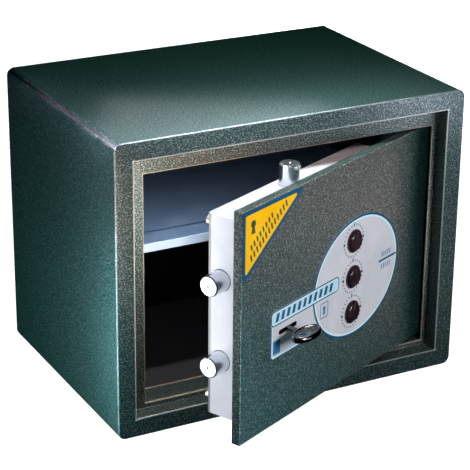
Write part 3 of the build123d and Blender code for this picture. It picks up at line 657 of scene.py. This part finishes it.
BOX_LEFT, BOX_LOW, BOX_RIGHT, BOX_TOP, BOX_RADIUS = 50.0, 73.8, 61.5, 88.0, 1.2
BOX_LINES_LEFT, BOX_LINES_RIGHT, BOX_LINE = 63.5, 92.0, 1.3
BOX_LINE_LOWS = (75.2, 79.2, 83.2)
box_outline = rounded(BOX_LEFT, BOX_LOW, BOX_RIGHT, BOX_TOP, BOX_RADIUS)
sheet("box_mark", [box_outline], on_label, mid_ink)
box_lines = [
    rectangle(BOX_LINES_LEFT, low, BOX_LINES_RIGHT, low + BOX_LINE) for low in BOX_LINE_LOWS
]
sheet("box_lines", box_lines, on_label, pale_ink)

# Ticks round each dial, with a long one at the top, and an index on each knob

TICK_COUNT = 24
BOLD_STEPS = (TICK_COUNT // 4, TICK_COUNT * 3 // 4)
INDEX_INNER, INDEX_OUTER, INDEX_HALF = 3.6, 8.6, 0.5
INDEX_SINK, INDEX_PAINT = 0.38, 0.3


def tick_size(step):
    """Inner radius, outer radius and half width of one tick."""
    if step == 0:
        return 15.0, 18.8, 0.8
    if step in BOLD_STEPS:
        return 15.0, 17.8, 1.3
    return 15.6, 17.2, 0.7


def tick(u, z, step):
    inner, outer, half = tick_size(step)
    angle = math.radians(90 + step * 360 / TICK_COUNT)
    run = Vector((math.cos(angle), math.sin(angle)))
    side = Vector((-run.y, run.x)) * half
    near_end, far_end = run * inner, run * outer
    corners = (near_end + side, near_end - side, far_end - side, far_end + side)
    return [(u + corner.x, z + corner.y) for corner in corners]


for name in ("upper", "middle", "lower"):
    u, z = door_centre("knob_" + name)
    sheet("ticks_" + name, [tick(u, z, step) for step in range(TICK_COUNT)], on_label, dark_ink)
    knob_face = -door_span("knob_" + name, INWARD)[0]
    index_mark = rectangle(u - INDEX_HALF, z + INDEX_INNER, u + INDEX_HALF, z + INDEX_OUTER)
    sheet(
        "index_" + name, [index_mark], knob_face - INDEX_SINK, index_ink,
        thickness=INDEX_PAINT, body="dial_" + name,
    )

# The three-cornered sticker: a yellow field with two rows of bars and a keyhole

STICKER_LONG, STICKER_TALL = 96.6, 68.0
FIELD_INSET, FIELD_RADIUS = 3.6, 1.6
LOWER_ROW, UPPER_ROW = (14.0, 180.3), (14.0, 190.8)
sticker_left = door_span("corner_sticker", ALONG)[0]
sticker_top = door_span("corner_sticker", UP)[1]
on_sticker = -door_span("corner_sticker", INWARD)[0]
on_field = on_sticker + INK + CLEAR
sticker_corners = [
    (sticker_left, sticker_top),
    (sticker_left, sticker_top - STICKER_TALL),
    (sticker_left + STICKER_LONG, sticker_top),
]
sloping = (STICKER_LONG, STICKER_TALL)

yellow_field = inset_corners(sticker_corners, FIELD_INSET, FIELD_RADIUS)
sheet("sticker_field", [yellow_field], on_sticker, yellow_ink)
sticker_rows = hatching(LOWER_ROW, sloping, count=13, pitch=5.4, width=2.3, tall=6.4)
sticker_rows += hatching(UPPER_ROW, sloping, count=8, pitch=5.4, width=2.3, tall=5.6)
sticker_mark = keyhole(16.5, 216.5, 3.6)
sheet("sticker_hatch", sticker_rows, on_field, deep_ink, THIN_INK)
sheet("sticker_keyhole", [sticker_mark], on_field, deep_ink, THIN_INK)

# Floor

FLOOR_HALF = 6.0
FLOOR_GAP = 0.2 * MM

floor_mesh = bpy.data.meshes.new("studio_floor")
floor_corners = [(x, y, 0) for x, y in rectangle(-FLOOR_HALF, -FLOOR_HALF, FLOOR_HALF, FLOOR_HALF)]
floor_mesh.from_pydata(floor_corners, [], [(0, 1, 2, 3)])
studio_floor = bpy.data.objects.new("studio_floor", floor_mesh)
studio_floor.location.z = -FLOOR_GAP
scene.collection.objects.link(studio_floor)
pale_floor = Shader("pale floor", Roughness=0.7)
floor_tone = pale_floor.mix(pale_floor.noise(3), (0.86, 0.86, 0.87), (0.9, 0.9, 0.9))
pale_floor.set("Base Color", floor_tone)
studio_floor.data.materials.append(pale_floor.material)
studio_floor.visible_diffuse = False
studio_floor.visible_glossy = False

# Lamps: place and aim in metres, power in watts. Most light only the pieces that they name.


def lamp(name, kind, power, only):
    """A lamp of this kind, which lights everything or only these pieces."""
    data = bpy.data.lights.new(name, kind)
    data.energy = power
    obj = bpy.data.objects.new(name, data)
    scene.collection.objects.link(obj)
    if only:
        group = bpy.data.collections.new(name + "_receivers")
        for receiver in only:
            group.objects.link(nodes.get(receiver) or bpy.data.objects[receiver])
        obj.light_linking.receiver_collection = group
    return obj


def softbox(name, place, aim, sides, power, colour=(1, 1, 1), only=()):
    """A rectangular lamp at a place, turned to its aim and hidden from the camera."""
    obj = lamp(name, "AREA", power, only)
    obj.data.shape = "RECTANGLE"
    obj.data.size, obj.data.size_y = sides
    obj.data.color = colour
    obj.location = place
    obj.rotation_euler = (Vector(aim) - Vector(place)).to_track_quat("-Z", "Y").to_euler()
    obj.visible_camera = False
    return obj


# The whole part
softbox(
    "low_light", (0.5, -0.9, 0.02), (0, -0.18, 0.1),
    (0.5, 0.2), 1.08, (0.69, 0.94, 1.0),
)
softbox(
    "top_light", (-0.02, -0.14, 0.4), (-0.02, -0.11, 0.3),
    (0.36, 0.03), 0.66, (0.95, 1.0, 1.0),
)
softbox(
    "high_light", (0, 0, 0.8), (0, 0, 0.3),
    (0.5, 0.3), 0.62, (0.05, 1.0, 0.76),
)
softbox(
    "side_light", (-0.3, -0.15, 0.14), (-0.19, -0.11, 0.13),
    (0.03, 0.26), 0.227, (0.97, 1.0, 0.99),
)
softbox(
    "fold_light", (-0.215, -0.1, 0.325), (-0.188, -0.1, 0.298),
    (0.08, 0.01), 0.08, (0.9, 0.85, 1.0),
)
softbox(
    "right_light", (0.95, 0.95, 0.12), (0.19, 0, 0.12),
    (0.9, 0.25), 6.0, (0.75, 1.0, 0.95),
)

# The cabinet's back, top and left side
softbox(
    "rear_light", (-0.12, 1.2, 0.17), (0, 0.13, 0.17),
    (0.6, 0.2), 5.0, (0.75, 1.0, 0.95), only=["back_panel"],
)
softbox(
    "glow_light", (-0.03, -0.02, 0.342), (-0.09, -0.13, 0.3),
    (0.22, 0.015), 0.031, (0.95, 0.93, 1.0), only=["body_shell"],
)
softbox(
    "side_edge_light", (-0.25, -0.15, 0.1), (-0.19, -0.12, 0.1),
    (0.02, 0.2), 0.191, (0.44, 0.87, 1.0), only=["body_shell"],
)
softbox(
    "side_low_light", (-0.45, -0.02, 0.0), (-0.19, 0.0, 0.08),
    (0.2, 0.05), 0.932, (0.4, 1.0, 0.97), only=["body_shell"],
)
softbox(
    "top_edge_light", (-0.08, -0.148, 0.335), (-0.08, -0.125, 0.3),
    (0.2, 0.01), 0.16, (0.95, 0.88, 1.0), only=["body_shell"],
)
softbox(
    "fold_rear_light", (-0.215, 0.02, 0.325), (-0.188, 0.02, 0.298),
    (0.16, 0.01), 0.03, (0.85, 0.78, 1.0), only=["body_shell"],
)

# The front rim and the frame
softbox(
    "flange_light", (-0.178, -0.18, 0.23), (-0.163, -0.115, 0.215),
    (0.02, 0.1), 0.22, (1.0, 0.95, 0.9), only=["door_frame"],
)
softbox(
    "flange_top_light", (-0.08, -0.2, 0.27), (-0.08, -0.115, 0.268),
    (0.12, 0.02), 0.0626, (1.0, 0.66, 0.46), only=["door_frame"],
)
softbox(
    "flange_right_light", (0.185, -0.25, 0.12), (0.165, -0.115, 0.12),
    (0.02, 0.14), 0.12, (0.92, 0.95, 1.0), only=["door_frame"],
)
softbox(
    "rim_left_light", (-0.2, -0.2, 0.2), (-0.182, -0.13, 0.185),
    (0.02, 0.14), 0.125, (1.0, 0.76, 0.67), only=["body_shell", "door_frame"],
)
softbox(
    "rim_right_light", (0.2, -0.24, 0.27), (0.17, -0.13, 0.28),
    (0.06, 0.04), 0.0904, (0.78, 0.86, 1.0), only=["body_shell", "door_frame"],
)
softbox(
    "rim_low_light", (0.15, -0.3, 0.08), (0.13, -0.1325, 0.019),
    (0.08, 0.02), 0.09, (0.95, 0.97, 1.0), only=["body_shell"],
)

# The shelf and the space under it
softbox(
    "lip_light", (-0.26, -0.5, 0.08), (-0.1, -0.06, 0.16),
    (0.1, 0.1), 9.43, (1.0, 0.79, 0.59), only=["shelf"],
)
softbox(
    "shelf_light", (-0.09, -0.085, 0.256), (-0.09, -0.055, 0.16),
    (0.12, 0.006), 0.135, (0.87, 0.93, 1.0),
    only=["shelf", "floor_mat", "door_frame", "shelf_supports", "shelf_rivets"],
)

# The lock case and the bolts
softbox(
    "case_light", (-0.8, -0.7, 0.2), (-0.11, -0.21, 0.14),
    (0.3, 0.3), 5.51, (0.94, 0.98, 1.0),
    only=["lock_case", "top_bolt", "side_bolt_upper", "side_bolt_lower"],
)
softbox(
    "case_top_light", (-0.1, -0.35, 0.5), (-0.03, -0.16, 0.27),
    (0.15, 0.1), 0.666, (1.0, 0.78, 0.73), only=["lock_case", "top_bolt", "rear_cover"],
)
softbox(
    "bolt_light", (-0.55, -0.2, 0.04), (-0.12, -0.22, 0.13),
    (0.45, 0.45), 0.9, only=["side_bolt_upper", "side_bolt_lower"],
)
bolt_top_light = softbox(
    "bolt_top_light", (0.38, 0.48, 0.55), (-0.024, -0.16, 0.266),
    (0.3, 0.3), 0.17, only=["top_bolt"],
)
bolt_top_light.data.use_shadow = False
bolt_top_light.data.cycles.use_multiple_importance_sampling = False

# The door, its prints and the key
softbox(
    "door_high_light", (0.52, -0.42, 0.5), (0, -0.17, 0.22),
    (0.2, 0.1), 2.4, (1.0, 0.95, 0.93), only=["door_plate"],
)
softbox(
    "door_low_light", (-0.08, -0.48, 0.02), (-0.06, -0.2, 0.05),
    (0.2, 0.04), 0.9, (0.48, 0.89, 1.0), only=["door_plate"],
)
softbox(
    "door_floor_light", (0.55, -0.28, 0.02), (0, -0.17, 0.14),
    (0.3, 0.1), 0.3, (1.0, 0.75, 0.73), only=["door_plate"],
)
softbox(
    "label_light", (0.3, -0.9, 0.5), (0.03, -0.17, 0.13), (0.3, 0.3), 7.6,
    only=[
        "face_label", "corner_sticker", "knob_upper", "knob_middle", "knob_lower",
        "label_outline", "label_border", "label_bar", "label_hatch",
        "banner_field", "banner_outline", "banner_border", "banner_hatch",
        "keyhole_outline", "keyhole_border", "mark_frame", "mark_keyhole", "box_mark", "box_lines",
        "sticker_field", "sticker_hatch", "sticker_keyhole",
    ],
)
softbox("key_shine", (0.3, -0.9, 0.5), (-0.05, -0.21, 0.12), (0.3, 0.3), 3.0, only=["key"])

# The floor, evenly and without shadows
floor_light = lamp("floor_light", "SUN", 4.8, only=["studio_floor"])
floor_light.data.angle = math.radians(40)
floor_light.data.use_shadow = False
floor_light.rotation_euler = (math.radians(20), math.radians(-15), 0)

# World: a dim sky lights the part, and the camera sees plain white behind it

SKY_LOW, SKY_HIGH = (0.004, 0.012, 0.012), (0.006, 0.008, 0.008)
SKY_STRENGTH = 0.5

world = bpy.data.worlds.new("studio")
world.use_nodes = True
scene.world = world
around = Nodes(world.node_tree)
height = around.split(around.node("ShaderNodeTexCoord").outputs["Generated"])["Z"]
sky_colour = around.ramp(around.grade(height, -1.0, 1.0), (0.0, SKY_LOW), (0.6, SKY_HIGH))
sky = around.node("ShaderNodeBackground", sky_colour, SKY_STRENGTH)
white = around.node("ShaderNodeBackground", (1, 1, 1), 1.0)
to_camera = around.node("ShaderNodeLightPath").outputs["Is Camera Ray"]
seen = around.node("ShaderNodeMixShader", to_camera, sky.outputs[0], white.outputs[0])
around.node("ShaderNodeOutputWorld", seen.outputs[0])
scene.view_settings.view_transform = "Standard"

# Camera, where the photograph was taken from

CAMERA_PLACE = Vector((-0.8051, -1.5149, 0.8274))
AZIMUTH, ELEVATION, ROLL = math.radians(28.12), math.radians(22.10), math.radians(0.62)
SENSOR_MM, LENS_MM = 36.0, 136.69
CLIP_NEAR, CLIP_FAR = 0.05, 50

forward = Vector((
    math.sin(AZIMUTH) * math.cos(ELEVATION),
    math.cos(AZIMUTH) * math.cos(ELEVATION),
    -math.sin(ELEVATION),
))
level = Vector((math.cos(AZIMUTH), -math.sin(AZIMUTH), 0))
upright = level.cross(forward)
right = level * math.cos(ROLL) + upright * math.sin(ROLL)
above = upright * math.cos(ROLL) - level * math.sin(ROLL)
turned = Matrix((right, above, -forward)).transposed().to_4x4()
camera = bpy.data.objects.new("camera", bpy.data.cameras.new("camera"))
scene.collection.objects.link(camera)
camera.matrix_world = Matrix.Translation(CAMERA_PLACE) @ turned
camera.data.sensor_width = SENSOR_MM
camera.data.lens = LENS_MM
camera.data.clip_start = CLIP_NEAR
camera.data.clip_end = CLIP_FAR
scene.camera = camera
